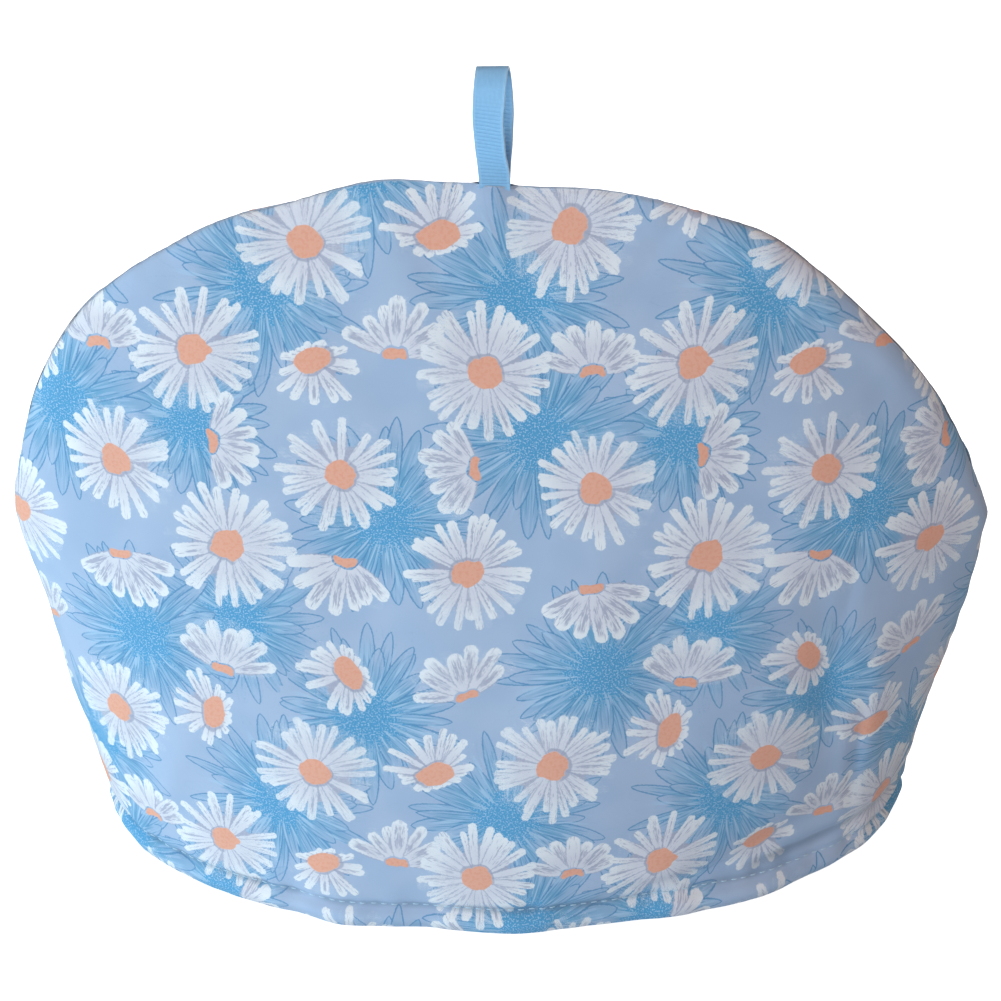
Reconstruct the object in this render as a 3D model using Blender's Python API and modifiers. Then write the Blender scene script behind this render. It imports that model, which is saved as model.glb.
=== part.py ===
"""A padded tea cosy: two dome-topped cotton panels, seamed round the edge, and a ribbon loop.

The cosy stands on its hem with its mouth opened to an oval. Metres, +Z up, -Y is the front,
and the origin is on the table under the middle of the cosy.
"""
import math
from collections import namedtuple

import bmesh
import bpy
import numpy as np

MM = 0.001

# The cosy seen from the front: straight sides that lean out, then a dome.
HEIGHT = 246.0 * MM
WIDEST_AT = 131.3 * MM
Half = namedtuple("Half", "widest hem fullness shoulder")
LEFT = Half(widest=157.2 * MM, hem=139.2 * MM, fullness=2.51, shoulder=1.83)
RIGHT = Half(widest=159.7 * MM, hem=148.3 * MM, fullness=2.51, shoulder=1.16)
SIDE_LEAN = 1.5

# The belly of one panel, from the seam plane out to its middle.
MOUTH_DEPTH = 70.3 * MM
BELLY_FALL = 1.23
BELLY_ROUND = 0.966
POINTED_HEM = 1.05
POINTED_TOP = 1.18

WALL = 4.0 * MM
CLEARANCE = 0.3 * MM

# Where the seam's feet stand: the mouth is a little skewed on the table.
FOOT_SKEW = 6.4 * MM

# Ribbon loop: its two plies leave the seam together, turn a little and lean to the left.
RIBBON_WIDTH = 9.0 * MM
RIBBON_THICK = 0.9 * MM
LOOP_X = -3.2 * MM
LOOP_RISE = 34.5 * MM
LOOP_BELLY = 5.0 * MM
LOOP_BOW = 1.2
LOOP_TUCK = 7.0 * MM
LOOP_PLY_GAP = 1.6 * MM
LOOP_TURN = math.radians(18)
LOOP_TURNED_BY = 10.0 * MM
LOOP_LEAN = -1.1 * MM
SLOT_BELOW_LOOP = 3.0 * MM

# Steps of the ribbon across, up one ply and over the top.
RIBBON_COLUMNS = 4
PLY_STEPS = 14
CROWN_STEPS = 12

# The grid of one panel.
COLUMNS = 36
ROWS = 26
CORNER_HEIGHT = 180.0 * MM
BELOW_TABLE = 4.0 * MM
SIDE_SAMPLES = 400
SEAM_STEPS = 2000

# Swells of the seam line: the angle round the middle of the dome, the width in degrees and
# how far it stands out.
Swell = namedtuple("Swell", "angle width out")
SEAM_CENTRE = 120.0 * MM
SEAM_SWELLS = [
    Swell(angle=-28, width=10, out=-1.3 * MM),
    Swell(angle=-8, width=12, out=0.6 * MM),
    Swell(angle=22, width=9, out=0.4 * MM),
    Swell(angle=38, width=9, out=-0.7 * MM),
    Swell(angle=55, width=8, out=1.5 * MM),
    Swell(angle=86, width=8, out=-0.7 * MM),
    Swell(angle=106, width=9, out=1.7 * MM),
    Swell(angle=119, width=7, out=-0.8 * MM),
    Swell(angle=133, width=6, out=-0.7 * MM),
    Swell(angle=147, width=9, out=0.9 * MM),
    Swell(angle=168, width=9, out=-1.0 * MM),
    Swell(angle=177, width=8, out=2.0 * MM),
    Swell(angle=194, width=10, out=-1.3 * MM),
    Swell(angle=211, width=8, out=-0.8 * MM),
]
SEAM_REACH = 25.0 * MM
SWELLS_FULL_AT = 40.0 * MM

# Soft ridges (out above 0) and creases (out below 0) of each panel, seen from the front:
# the middle, the length, the width, the lean from upright and how far they stand out.
Fold = namedtuple("Fold", "x z length width lean out")
FRONT_FOLDS = [
    Fold(x=111 * MM, z=74 * MM, length=53 * MM, width=12 * MM, lean=-7, out=-2.2 * MM),
    Fold(x=126 * MM, z=80 * MM, length=43 * MM, width=11 * MM, lean=-10, out=1.6 * MM),
    Fold(x=85 * MM, z=20 * MM, length=51 * MM, width=9 * MM, lean=72, out=-2.4 * MM),
    Fold(x=89 * MM, z=3 * MM, length=53 * MM, width=9 * MM, lean=85, out=2.0 * MM),
    Fold(x=-120 * MM, z=54 * MM, length=30 * MM, width=7 * MM, lean=15, out=-1.3 * MM),
    Fold(x=-110 * MM, z=42 * MM, length=26 * MM, width=7 * MM, lean=18, out=1.0 * MM),
    Fold(x=29 * MM, z=98 * MM, length=80 * MM, width=26 * MM, lean=7, out=1.6 * MM),
    Fold(x=-48 * MM, z=126 * MM, length=76 * MM, width=24 * MM, lean=-14, out=-1.2 * MM),
]
BACK_FOLDS = [
    Fold(x=-96 * MM, z=74 * MM, length=62 * MM, width=13 * MM, lean=9, out=-2.2 * MM),
    Fold(x=-80 * MM, z=79 * MM, length=50 * MM, width=14 * MM, lean=7, out=1.5 * MM),
    Fold(x=70 * MM, z=35 * MM, length=54 * MM, width=12 * MM, lean=-24, out=-1.8 * MM),
    Fold(x=16 * MM, z=115 * MM, length=80 * MM, width=26 * MM, lean=-5, out=1.8 * MM),
    Fold(x=104 * MM, z=104 * MM, length=46 * MM, width=14 * MM, lean=-14, out=-1.4 * MM),
]
FOLD_FADE = 14.0 * MM

# The hem's waves on the table: where along the hem, how wide, and how far out.
Wave = namedtuple("Wave", "x width out")
HEM_WAVES = [
    Wave(x=-124 * MM, width=13 * MM, out=0.7 * MM),
    Wave(x=-66 * MM, width=13 * MM, out=-0.7 * MM),
    Wave(x=-52 * MM, width=12 * MM, out=1.8 * MM),
    Wave(x=-23 * MM, width=16 * MM, out=-1.7 * MM),
    Wave(x=9 * MM, width=16 * MM, out=1.3 * MM),
    Wave(x=50 * MM, width=13 * MM, out=-0.6 * MM),
    Wave(x=74 * MM, width=13 * MM, out=-0.9 * MM),
    Wave(x=108 * MM, width=13 * MM, out=-1.2 * MM),
    Wave(x=134 * MM, width=12 * MM, out=1.8 * MM),
]
HEM_WAVE_HEIGHT = 24.0 * MM
BACK_WAVE_SHARE = 0.25

FRONT = -1
BACK = 1

# The reach of a cutter past the cosy on every side.
PAST = 400.0 * MM

# Finishes: the colour that the print and the ribbon have from a few steps away.
Finish = namedtuple("Finish", "name colour roughness")
PRINTED_COTTON = Finish("printed_cotton", colour=(0.36, 0.55, 0.80), roughness=0.85)
GROSGRAIN = Finish("grosgrain_ribbon", colour=(0.27, 0.51, 0.76), roughness=0.6)
SHARP_ANGLE = math.radians(50)


def half_width(z, half):
    """How far the seam line lies from the middle at height z."""
    over = np.clip((z - WIDEST_AT) / (HEIGHT - WIDEST_AT), 0, 1)
    dome = half.widest * (1 - over ** half.shoulder) ** (1 / half.fullness)
    under = np.clip((WIDEST_AT - z) / WIDEST_AT, 0, None)
    side = half.widest - (half.widest - half.hem) * under ** SIDE_LEAN
    return np.where(z > WIDEST_AT, dome, side)


def panel_point(across, z, face):
    """A point of a panel's outer side. across runs from -1 at the left seam to 1 at the right."""
    share = np.clip(z / HEIGHT, 0, 1)
    half = LEFT if across < 0 else RIGHT
    turn = across * math.pi / 2
    pointed = POINTED_HEM + (POINTED_TOP - POINTED_HEM) * share ** 2
    depth = MOUTH_DEPTH * (1 - share ** BELLY_FALL) ** BELLY_ROUND
    x = half_width(z, half) * math.sin(turn)
    y = face * depth * max(math.cos(turn), 0) ** pointed
    return x, y, z


def seam_line(start, end, count):
    """Evenly spaced points of the seam line, from start to end, where 0 and 1 are the two feet."""
    rise = np.sin(np.linspace(0, math.pi / 2, SIDE_SAMPLES))
    lift = rise * (HEIGHT + BELOW_TABLE) - BELOW_TABLE
    left = np.stack([-half_width(lift, LEFT), lift], axis=1)
    right = np.stack([half_width(lift, RIGHT), lift], axis=1)
    line = np.concatenate([left, right[::-1]])
    run = np.concatenate([[0], np.cumsum(np.linalg.norm(np.diff(line, axis=0), axis=1))])
    run /= run[-1]
    at = np.linspace(start, end, count)
    return np.stack([np.interp(at, run, line[:, 0]), np.interp(at, run, line[:, 1])], axis=1)


def corner_shares():
    """The places on the seam line, left and right, where the panel grid has its upper corners."""
    fine = seam_line(0, 1, SEAM_STEPS + 1)
    above = np.nonzero(fine[:, 1] > CORNER_HEIGHT)[0]
    return above[0] / SEAM_STEPS, above[-1] / SEAM_STEPS


def elevation_grid():
    """A grid laid inside the front outline: columns run up the panel, rows run across it."""
    left_share, right_share = corner_shares()
    top = seam_line(left_share, right_share, COLUMNS + 1)
    left = seam_line(0, left_share, ROWS + 1)
    right = seam_line(1, right_share, ROWS + 1)
    hem = np.linspace(left[0], right[0], COLUMNS + 1)
    k = np.linspace(0, 1, COLUMNS + 1)[None, :, None]
    r = np.linspace(0, 1, ROWS + 1)[:, None, None]
    ruled = (1 - r) * hem[None] + r * top[None] + (1 - k) * left[:, None] + k * right[:, None]
    corners = (1 - r) * ((1 - k) * hem[0] + k * hem[-1]) + r * ((1 - k) * top[0] + k * top[-1])
    return ruled - corners


def panel_sheet(name, face):
    """The open outer sheet of a panel."""
    grid = elevation_grid()
    sheet = bmesh.new()
    bmesh.ops.create_grid(sheet, x_segments=COLUMNS, y_segments=ROWS, size=1)
    for vert in sheet.verts:
        column = round((vert.co.x + 1) / 2 * COLUMNS)
        row = round((vert.co.y + 1) / 2 * ROWS)
        x, z = grid[row, column]
        half = LEFT if x < 0 else RIGHT
        reach = max(float(half_width(z, half)), MM)
        vert.co = panel_point(max(-1, min(1, x / reach)), z, face)
    if face == BACK:
        bmesh.ops.reverse_faces(sheet, faces=sheet.faces)
    mesh = bpy.data.meshes.new(name)
    sheet.to_mesh(mesh)
    sheet.free()
    return bpy.data.objects.new(name, mesh)


def box_cutter(name, low, high):
    """A box that takes material away."""
    bpy.ops.mesh.primitive_cube_add(size=1, location=[(a + b) / 2 for a, b in zip(low, high)])
    cutter = bpy.context.object
    cutter.name = name
    cutter.scale = [b - a for a, b in zip(low, high)]
    bpy.ops.object.transform_apply(location=True, rotation=False, scale=True)
    cutter.hide_render = True
    cutter.display_type = "WIRE"
    for collection in list(cutter.users_collection):
        collection.objects.unlink(cutter)
    cutters.objects.link(cutter)
    return cutter


def cut(piece, cutter):
    """Takes a cutter's space out of a piece."""
    bite = piece.modifiers.new(cutter.name, "BOOLEAN")
    bite.operation = "DIFFERENCE"
    bite.solver = "EXACT"
    bite.object = cutter


def bake_modifiers(piece):
    """Makes a piece's modifiers part of its mesh."""
    bpy.context.view_layer.update()
    evaluated = piece.evaluated_get(bpy.context.evaluated_depsgraph_get())
    mesh = bpy.data.meshes.new_from_object(evaluated)
    piece.modifiers.clear()
    piece.data = mesh


def soft_bump(distance, width):
    """A bell curve of height 1 that has faded out at one and a half widths."""
    return math.exp(-(distance / width) ** 2 * 2)


def seam_swell(x, z):
    """How far the seam line stands out at the angle of this point."""
    angle = math.degrees(math.atan2(z - SEAM_CENTRE, x))
    if angle < -90:
        angle += 360
    return sum(swell.out * soft_bump(angle - swell.angle, swell.width) for swell in SEAM_SWELLS)


def folds_at(x, z, folds):
    """How far a panel's ridges and creases move the point that the front view shows at x, z."""
    out = 0
    for fold in folds:
        lean = math.radians(fold.lean)
        along = (x - fold.x) * math.sin(lean) + (z - fold.z) * math.cos(lean)
        aside = (x - fold.x) * math.cos(lean) - (z - fold.z) * math.sin(lean)
        out += fold.out * soft_bump(along, fold.length) * soft_bump(aside, fold.width)
    return out


def settle(piece, face):
    """Gives a panel the uneven set of cloth: the skewed feet, the seam's swells and the folds."""
    for vert in piece.data.vertices:
        x, y, z = vert.co
        near_seam = math.exp(-(y / SEAM_REACH) ** 2)
        lifted = min(1, z / SWELLS_FULL_AT) ** 2
        swell = seam_swell(x, z) * near_seam * lifted
        spread = math.hypot(x, z - SEAM_CENTRE)
        clear_of_seam = 1 - math.exp(-(y / FOLD_FADE) ** 2)
        fold = folds_at(x, z, FRONT_FOLDS if face == FRONT else BACK_FOLDS)
        wave = sum(w.out * soft_bump(x - w.x, w.width) for w in HEM_WAVES)
        wave *= math.exp(-z / HEM_WAVE_HEIGHT) * (1 if face == FRONT else BACK_WAVE_SHARE)
        out = (fold + wave) * clear_of_seam
        slope = math.hypot(x / LEFT.widest ** 2, y / MOUTH_DEPTH ** 2)
        share = min(1, max(0, z / HEIGHT))
        skew = FOOT_SKEW * max(-1, min(1, x / LEFT.hem)) * (1 - share)
        vert.co.x = x + swell * x / spread + out * x / LEFT.widest ** 2 / slope
        vert.co.y = y + skew + out * y / MOUTH_DEPTH ** 2 / slope
        vert.co.z = z + swell * (z - SEAM_CENTRE) / spread


def paint(piece, finish):
    """Gives a piece a plain cloth material."""
    material = bpy.data.materials.new(finish.name)
    material.use_nodes = True
    shader = material.node_tree.nodes["Principled BSDF"]
    shader.inputs["Base Color"].default_value = (*finish.colour, 1)
    shader.inputs["Roughness"].default_value = finish.roughness
    shader.inputs["Metallic"].default_value = 0
    piece.data.materials.clear()
    piece.data.materials.append(material)
    piece.data.shade_smooth()
    piece.data.set_sharp_from_angle(angle=SHARP_ANGLE)


def make_panel(name, face, slot):
    """One padded panel: a bellied sheet, made thick, cut flat at the seam, the hem and the loop."""
    panel = panel_sheet(name, face)
    cosy.objects.link(panel)
    padding = panel.modifiers.new("padding", "SOLIDIFY")
    padding.thickness = WALL
    padding.offset = -1
    padding.use_even_offset = True
    near, far = sorted([face * CLEARANCE / 2, -face * PAST])
    cut(panel, box_cutter(name + "_seam_cut", (-PAST, near, -PAST), (PAST, far, PAST)))
    cut(panel, box_cutter(name + "_table_cut", (-PAST, -PAST, -PAST), (PAST, PAST, 0)))
    cut(panel, slot)
    bake_modifiers(panel)
    settle(panel, face)
    paint(panel, PRINTED_COTTON)


def loop_path():
    """The ribbon's middle line in side view: up the front ply, over the top and down the back."""
    straight = (LOOP_PLY_GAP + RIBBON_THICK) / 2
    crown = HEIGHT + LOOP_RISE - LOOP_BELLY
    front = [(-straight, HEIGHT - LOOP_TUCK), (-straight, HEIGHT - LOOP_TUCK / 2)]
    for share in np.linspace(0, 1, PLY_STEPS):
        bowed = math.sin(share * math.pi / 2) ** LOOP_BOW
        front.append((-straight - (LOOP_BELLY - straight) * bowed, HEIGHT + (crown - HEIGHT) * share))
    over = [(-LOOP_BELLY * math.cos(turn), crown + LOOP_BELLY * math.sin(turn))
            for turn in np.linspace(0, math.pi, CROWN_STEPS)[1:-1]]
    back = [(-y, z) for y, z in reversed(front)]
    return front + over + back


def make_loop():
    """The ribbon loop, its two ends tucked between the panels."""
    path = loop_path()
    steps = len(path) - 1
    ribbon = bmesh.new()
    bmesh.ops.create_grid(ribbon, x_segments=RIBBON_COLUMNS, y_segments=steps, size=1)
    for vert in ribbon.verts:
        y, z = path[round((vert.co.y + 1) / 2 * steps)]
        x = vert.co.x * RIBBON_WIDTH / 2
        clear = max(0, z - HEIGHT)
        turn = LOOP_TURN * min(1, clear / LOOP_TURNED_BY)
        vert.co.x = LOOP_X + LOOP_LEAN * clear / LOOP_RISE + x * math.cos(turn) + y * math.sin(turn)
        vert.co.y = y * math.cos(turn) - x * math.sin(turn)
        vert.co.z = z
    mesh = bpy.data.meshes.new("hanging_loop")
    ribbon.to_mesh(mesh)
    ribbon.free()
    loop = bpy.data.objects.new("hanging_loop", mesh)
    cosy.objects.link(loop)
    thick = loop.modifiers.new("ribbon_thickness", "SOLIDIFY")
    thick.thickness = RIBBON_THICK
    thick.offset = 0
    paint(loop, GROSGRAIN)


for leftover in list(bpy.data.objects):
    bpy.data.objects.remove(leftover)

cosy = bpy.data.collections.new("tea_cosy")
cutters = bpy.data.collections.new("cutters")
bpy.context.scene.collection.children.link(cosy)
bpy.context.scene.collection.children.link(cutters)

slot_half = RIBBON_WIDTH / 2 + CLEARANCE
slot_depth = LOOP_PLY_GAP / 2 + RIBBON_THICK + CLEARANCE
loop_slot = box_cutter(
    "loop_slot",
    (LOOP_X - slot_half, -slot_depth, HEIGHT - LOOP_TUCK - SLOT_BELOW_LOOP),
    (LOOP_X + slot_half, slot_depth, HEIGHT + LOOP_RISE),
)
make_panel("front_panel", FRONT, loop_slot)
make_panel("back_panel", BACK, loop_slot)
make_loop()
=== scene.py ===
"""The looks of a padded tea cosy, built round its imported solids.

Two daisy-print cotton panels, seamed round the edge with a turned and topstitched hem, and a
grosgrain ribbon loop. Metres, +Z up, -Y is the front, and the table is at z = 0.
"""
import math
from collections import namedtuple

import bmesh
import bpy
import numpy as np
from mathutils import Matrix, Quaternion, Vector, noise


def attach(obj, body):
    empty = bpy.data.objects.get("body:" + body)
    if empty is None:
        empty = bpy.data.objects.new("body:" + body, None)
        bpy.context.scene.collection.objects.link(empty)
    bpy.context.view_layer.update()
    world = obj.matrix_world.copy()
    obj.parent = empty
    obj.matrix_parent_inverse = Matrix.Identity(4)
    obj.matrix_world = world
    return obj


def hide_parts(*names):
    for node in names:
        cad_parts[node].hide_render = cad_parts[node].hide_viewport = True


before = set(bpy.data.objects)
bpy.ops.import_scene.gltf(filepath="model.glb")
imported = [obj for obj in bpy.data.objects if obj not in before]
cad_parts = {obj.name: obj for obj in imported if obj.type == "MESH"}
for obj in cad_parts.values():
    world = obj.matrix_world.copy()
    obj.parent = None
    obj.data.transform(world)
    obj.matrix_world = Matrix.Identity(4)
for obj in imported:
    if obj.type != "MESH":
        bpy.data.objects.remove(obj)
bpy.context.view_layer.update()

# ---------------------------------------------------------------------------------------
# Camera. It looks down on the front panel from half a metre away, with the lens of a
# picture 1001 pixels square.
MM = 0.001
PICTURE_PX = 1001
FOCAL_PX = 1700
CAMERA_TURN = math.radians(0.64)
CAMERA_RISE = math.radians(36.46)
CAMERA_ROLL = math.radians(0.97)
CAMERA_DISTANCE = 558.6 * MM
AIM = Vector((0, 0, 131.8 * MM))

camera = bpy.data.objects.new("camera", bpy.data.cameras.new("camera"))
bpy.context.scene.collection.objects.link(camera)
bpy.context.scene.camera = camera
camera.data.lens = camera.data.sensor_width * FOCAL_PX / PICTURE_PX
camera.data.clip_start = 50 * MM
camera.data.clip_end = 10
away = Vector((
    math.sin(CAMERA_TURN) * math.cos(CAMERA_RISE),
    -math.cos(CAMERA_TURN) * math.cos(CAMERA_RISE),
    math.sin(CAMERA_RISE),
))
camera.location = AIM + away * CAMERA_DISTANCE
camera.rotation_mode = "QUATERNION"
camera.rotation_quaternion = away.to_track_quat("Z", "Y") @ Quaternion((0, 0, 1), CAMERA_ROLL)

# ---------------------------------------------------------------------------------------
# Table and light. A plain white table that neither tints nor shades the cloth, a large cool
# lamp low on the left, a weaker one in front, a warm one high on the right, and one behind.
TABLE_SIZE = 40.0
TABLE_WHITE = (0.90, 0.90, 0.90)
TABLE_GLOW = 1.0
TABLE_ROUGHNESS = 0.9
ROOM_LIGHT = (1.0, 0.96, 0.90)
ROOM_STRENGTH = 0.18
Lamp = namedtuple("Lamp", "name turn rise distance size power colour")
LAMPS = [
    Lamp("window", turn=-68, rise=6, distance=1.6, size=0.8, power=19.5, colour=(0.70, 0.91, 1.0)),
    Lamp("bounce", turn=-14, rise=-8, distance=1.6, size=0.8, power=10.5, colour=(0.64, 0.82, 1.0)),
    Lamp("ceiling", turn=30, rise=68, distance=1.6, size=1.0, power=7, colour=(1.0, 0.78, 0.71)),
    Lamp("behind", turn=165, rise=12, distance=1.8, size=1.0, power=24, colour=(0.96, 0.97, 1.0)),
]

scene = bpy.context.scene
scene.view_settings.view_transform = "Standard"
room = bpy.data.worlds.new("room")
scene.world = room
room.use_nodes = True
room_air = room.node_tree.nodes["Background"].inputs
room_air["Color"].default_value = (*ROOM_LIGHT, 1)
room_air["Strength"].default_value = ROOM_STRENGTH

table_mesh = bpy.data.meshes.new("table")
table_sheet = bmesh.new()
bmesh.ops.create_grid(table_sheet, x_segments=1, y_segments=1, size=TABLE_SIZE / 2)
table_sheet.to_mesh(table_mesh)
table_sheet.free()
table = bpy.data.objects.new("table", table_mesh)
scene.collection.objects.link(table)
table_paint = bpy.data.materials.new("table_paint")
table_paint.use_nodes = True
table_look = table_paint.node_tree.nodes["Principled BSDF"].inputs
table_look["Base Color"].default_value = (*TABLE_WHITE, 1)
table_look["Roughness"].default_value = TABLE_ROUGHNESS
table_look["Emission Color"].default_value = (*TABLE_WHITE, 1)
table_look["Emission Strength"].default_value = TABLE_GLOW
table_paint.cycles.emission_sampling = "NONE"
table_mesh.materials.append(table_paint)
table.visible_diffuse = False
table.visible_shadow = False

for lamp in LAMPS:
    light = bpy.data.lights.new(lamp.name, "AREA")
    light.shape = "DISK"
    light.size = lamp.size
    light.energy = lamp.power
    light.color = lamp.colour
    stand = bpy.data.objects.new(lamp.name, light)
    scene.collection.objects.link(stand)
    turn, rise = math.radians(lamp.turn), math.radians(lamp.rise)
    towards = Vector((math.sin(turn) * math.cos(rise), -math.cos(turn) * math.cos(rise), math.sin(rise)))
    stand.location = AIM + towards * lamp.distance
    stand.rotation_mode = "QUATERNION"
    stand.rotation_quaternion = towards.to_track_quat("Z", "Y")

# ---------------------------------------------------------------------------------------
# Panels, as they stand. Each is one dome-topped piece of padded cotton that bellies out from
# the seam, with the same outline, folds and hem waves as its solid. The two meet in a seam
# that is closed but for a hair's breadth, CLEARANCE.
HEIGHT = 246.0 * MM
WIDEST_AT = 131.3 * MM
Half = namedtuple("Half", "widest hem fullness shoulder")
LEFT = Half(widest=157.2 * MM, hem=139.2 * MM, fullness=2.51, shoulder=1.83)
RIGHT = Half(widest=159.7 * MM, hem=148.3 * MM, fullness=2.51, shoulder=1.16)
SIDE_LEAN = 1.5
MOUTH_DEPTH = 70.3 * MM
BELLY_FALL = 1.23
BELLY_ROUND = 0.966
POINTED_HEM = 1.05
POINTED_TOP = 1.18
WALL = 4.0 * MM
CLEARANCE = 0.06 * MM
FOOT_SKEW = 6.4 * MM
CORNER_HEIGHT = 180.0 * MM
FRONT, BACK = -1, 1

Swell = namedtuple("Swell", "angle width out")
SEAM_CENTRE = 120.0 * MM
SEAM_REACH = 25.0 * MM
SWELLS_FULL_AT = 40.0 * MM
SEAM_SWELLS = [
    Swell(angle=-28, width=10, out=-1.3),
    Swell(angle=-8, width=12, out=0.6),
    Swell(angle=22, width=9, out=0.4),
    Swell(angle=38, width=9, out=-0.7),
    Swell(angle=55, width=8, out=1.5),
    Swell(angle=86, width=8, out=-0.7),
    Swell(angle=106, width=9, out=1.7),
    Swell(angle=119, width=7, out=-0.8),
    Swell(angle=133, width=6, out=-0.7),
    Swell(angle=147, width=9, out=0.9),
    Swell(angle=168, width=9, out=-1.0),
    Swell(angle=177, width=8, out=2.0),
    Swell(angle=194, width=10, out=-1.3),
    Swell(angle=211, width=8, out=-0.8),
]

# The big folds, in millimetres, seen from the front: the middle, length, width, lean from
# upright and how far each stands out, or in where it is below 0.
Fold = namedtuple("Fold", "x z length width lean out")
FOLD_FADE = 14.0 * MM
FOLDS = {
    FRONT: [
        Fold(111, 74, 53, 12, -7, -2.2),
        Fold(126, 80, 43, 11, -10, 1.6),
        Fold(85, 20, 51, 9, 72, -2.4),
        Fold(89, 3, 53, 9, 85, 2.0),
        Fold(-120, 54, 30, 7, 15, -1.3),
        Fold(-110, 42, 26, 7, 18, 1.0),
        Fold(29, 98, 80, 26, 7, 1.6),
        Fold(-48, 126, 76, 24, -14, -1.2),
    ],
    BACK: [
        Fold(-96, 74, 62, 13, 9, -2.2),
        Fold(-80, 79, 50, 14, 7, 1.5),
        Fold(70, 35, 54, 12, -24, -1.8),
        Fold(16, 115, 80, 26, -5, 1.8),
        Fold(104, 104, 46, 14, -14, -1.4),
    ],
}
Wave = namedtuple("Wave", "x width out")
HEM_WAVES = [
    Wave(x=-124, width=13, out=0.7),
    Wave(x=-66, width=13, out=-0.7),
    Wave(x=-52, width=12, out=1.8),
    Wave(x=-23, width=16, out=-1.7),
    Wave(x=9, width=16, out=1.3),
    Wave(x=50, width=13, out=-0.6),
    Wave(x=74, width=13, out=-0.9),
    Wave(x=108, width=13, out=-1.2),
    Wave(x=134, width=12, out=1.8),
]
HEM_WAVE_HEIGHT = 24.0 * MM
WAVE_SHARE = {FRONT: 1.0, BACK: 0.25}

# The grid of one panel: steps are finest by the seam and the hem.
COLUMNS = 220
ROWS = 150
EDGE_CROWDING = 0.6
SIDE_SAMPLES = 2000
HEM_ROUND = WALL / 2


def half_width(z, half):
    """How far the seam line lies from the middle at height z."""
    over = np.clip((z - WIDEST_AT) / (HEIGHT - WIDEST_AT), 0, 1)
    dome = half.widest * (1 - over ** half.shoulder) ** (1 / half.fullness)
    under = np.clip((WIDEST_AT - z) / WIDEST_AT, 0, None)
    side = half.widest - (half.widest - half.hem) * under ** SIDE_LEAN
    return np.where(z > WIDEST_AT, dome, side)


def panel_point(across, z, face):
    """Points of a panel's outer side. across runs from -1 at the left seam to 1 at the right."""
    share = np.clip(z / HEIGHT, 0, 1)
    reach = np.where(across < 0, half_width(z, LEFT), half_width(z, RIGHT))
    turn = across * math.pi / 2
    pointed = POINTED_HEM + (POINTED_TOP - POINTED_HEM) * share ** 2
    depth = MOUTH_DEPTH * (1 - share ** BELLY_FALL) ** BELLY_ROUND
    y = face * np.maximum(depth * np.maximum(np.cos(turn), 0) ** pointed, CLEARANCE / 2)
    return np.stack(np.broadcast_arrays(reach * np.sin(turn), y, z), axis=-1)


def run_along(line):
    """How far along a line of points each of them is."""
    return np.concatenate([[0], np.cumsum(np.linalg.norm(np.diff(line, axis=0), axis=1))])


def seam_line(shares):
    """Points of the seam line at shares of its length, where 0 and 1 are the two feet."""
    rise = np.sin(np.linspace(0, math.pi / 2, SIDE_SAMPLES))
    lift = HEM_ROUND + (HEIGHT - HEM_ROUND) * rise
    left = np.stack([-half_width(lift, LEFT), lift], axis=1)
    right = np.stack([half_width(lift, RIGHT), lift], axis=1)
    line = np.concatenate([left, right[::-1]])
    run = run_along(line)
    run /= run[-1]
    return np.stack([np.interp(shares, run, line[:, 0]), np.interp(shares, run, line[:, 1])], axis=1)


def crowded(count):
    """Steps from 0 to 1 that are closer together at both ends."""
    even = np.linspace(0, 1, count + 1)
    return even - EDGE_CROWDING * np.sin(2 * math.pi * even) / (2 * math.pi)


def panel_grid():
    """The across and height of each grid point, laid between the hem and the seam line."""
    fine = np.linspace(0, 1, SIDE_SAMPLES)
    above = fine[seam_line(fine)[:, 1] > CORNER_HEIGHT]
    columns, rows = crowded(COLUMNS), crowded(ROWS)
    top = seam_line(above[0] + (above[-1] - above[0]) * columns)
    left = seam_line(above[0] * rows)
    right = seam_line(1 + (above[-1] - 1) * rows)
    hem = left[0] + (right[0] - left[0]) * columns[:, None]
    k, r = columns[None, :, None], rows[:, None, None]
    ruled = (1 - r) * hem[None] + r * top[None] + (1 - k) * left[:, None] + k * right[:, None]
    corners = (1 - r) * ((1 - k) * hem[0] + k * hem[-1]) + r * ((1 - k) * top[0] + k * top[-1])
    x, z = np.moveaxis(ruled - corners, -1, 0)
    reach = np.maximum(np.where(x < 0, half_width(z, LEFT), half_width(z, RIGHT)), MM)
    return np.clip(x / reach, -1, 1), z


def soft_bump(distance, width):
    """A bell curve of height 1 that has faded out at one and a half widths."""
    return np.exp(-(distance / width) ** 2 * 2)


def at_lean(across, up, lean):
    """How far a place is along and aside of a fold that leans by an angle from upright."""
    lean = math.radians(lean)
    along = across * math.sin(lean) + up * math.cos(lean)
    return along, across * math.cos(lean) - up * math.sin(lean)


def foot_skew(x, z):
    """How far the seam lies behind the middle: the right foot stands back, the left one forward."""
    return FOOT_SKEW * np.clip(x / LEFT.hem, -1, 1) * (1 - np.clip(z / HEIGHT, 0, 1))


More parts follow.
